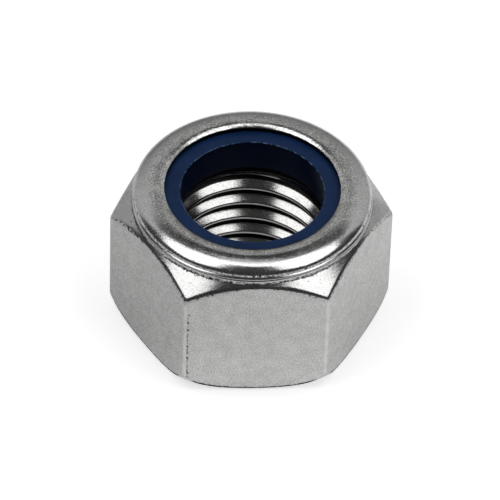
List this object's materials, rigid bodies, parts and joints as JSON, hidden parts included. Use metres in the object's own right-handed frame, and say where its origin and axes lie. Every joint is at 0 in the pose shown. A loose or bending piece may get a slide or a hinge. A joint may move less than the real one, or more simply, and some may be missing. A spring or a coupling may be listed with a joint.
{
  "type": "nylon insert lock nut",
  "caption": "Hexagon lock nut of satin stainless steel with a collar rolled over a dark blue nylon ring that grips the bolt.",
  "frame": {"origin": "centre of the bearing face, on the thread's axis", "axes": "+Z along the thread's axis, from the bearing face to the rolled lip; two corners of the hexagon lie on X and two flats face Y"},
  "size_m": [0.0276, 0.024, 0.016],
  "materials": {
    "steel": "satin stainless steel, polished on the rolled collar and the corner cones",
    "nylon": "satin dark blue nylon"
  },
  "bodies": {
    "root": {"nut_body": "steel", "nylon_insert": "nylon"}
  },
  "joints": []
}
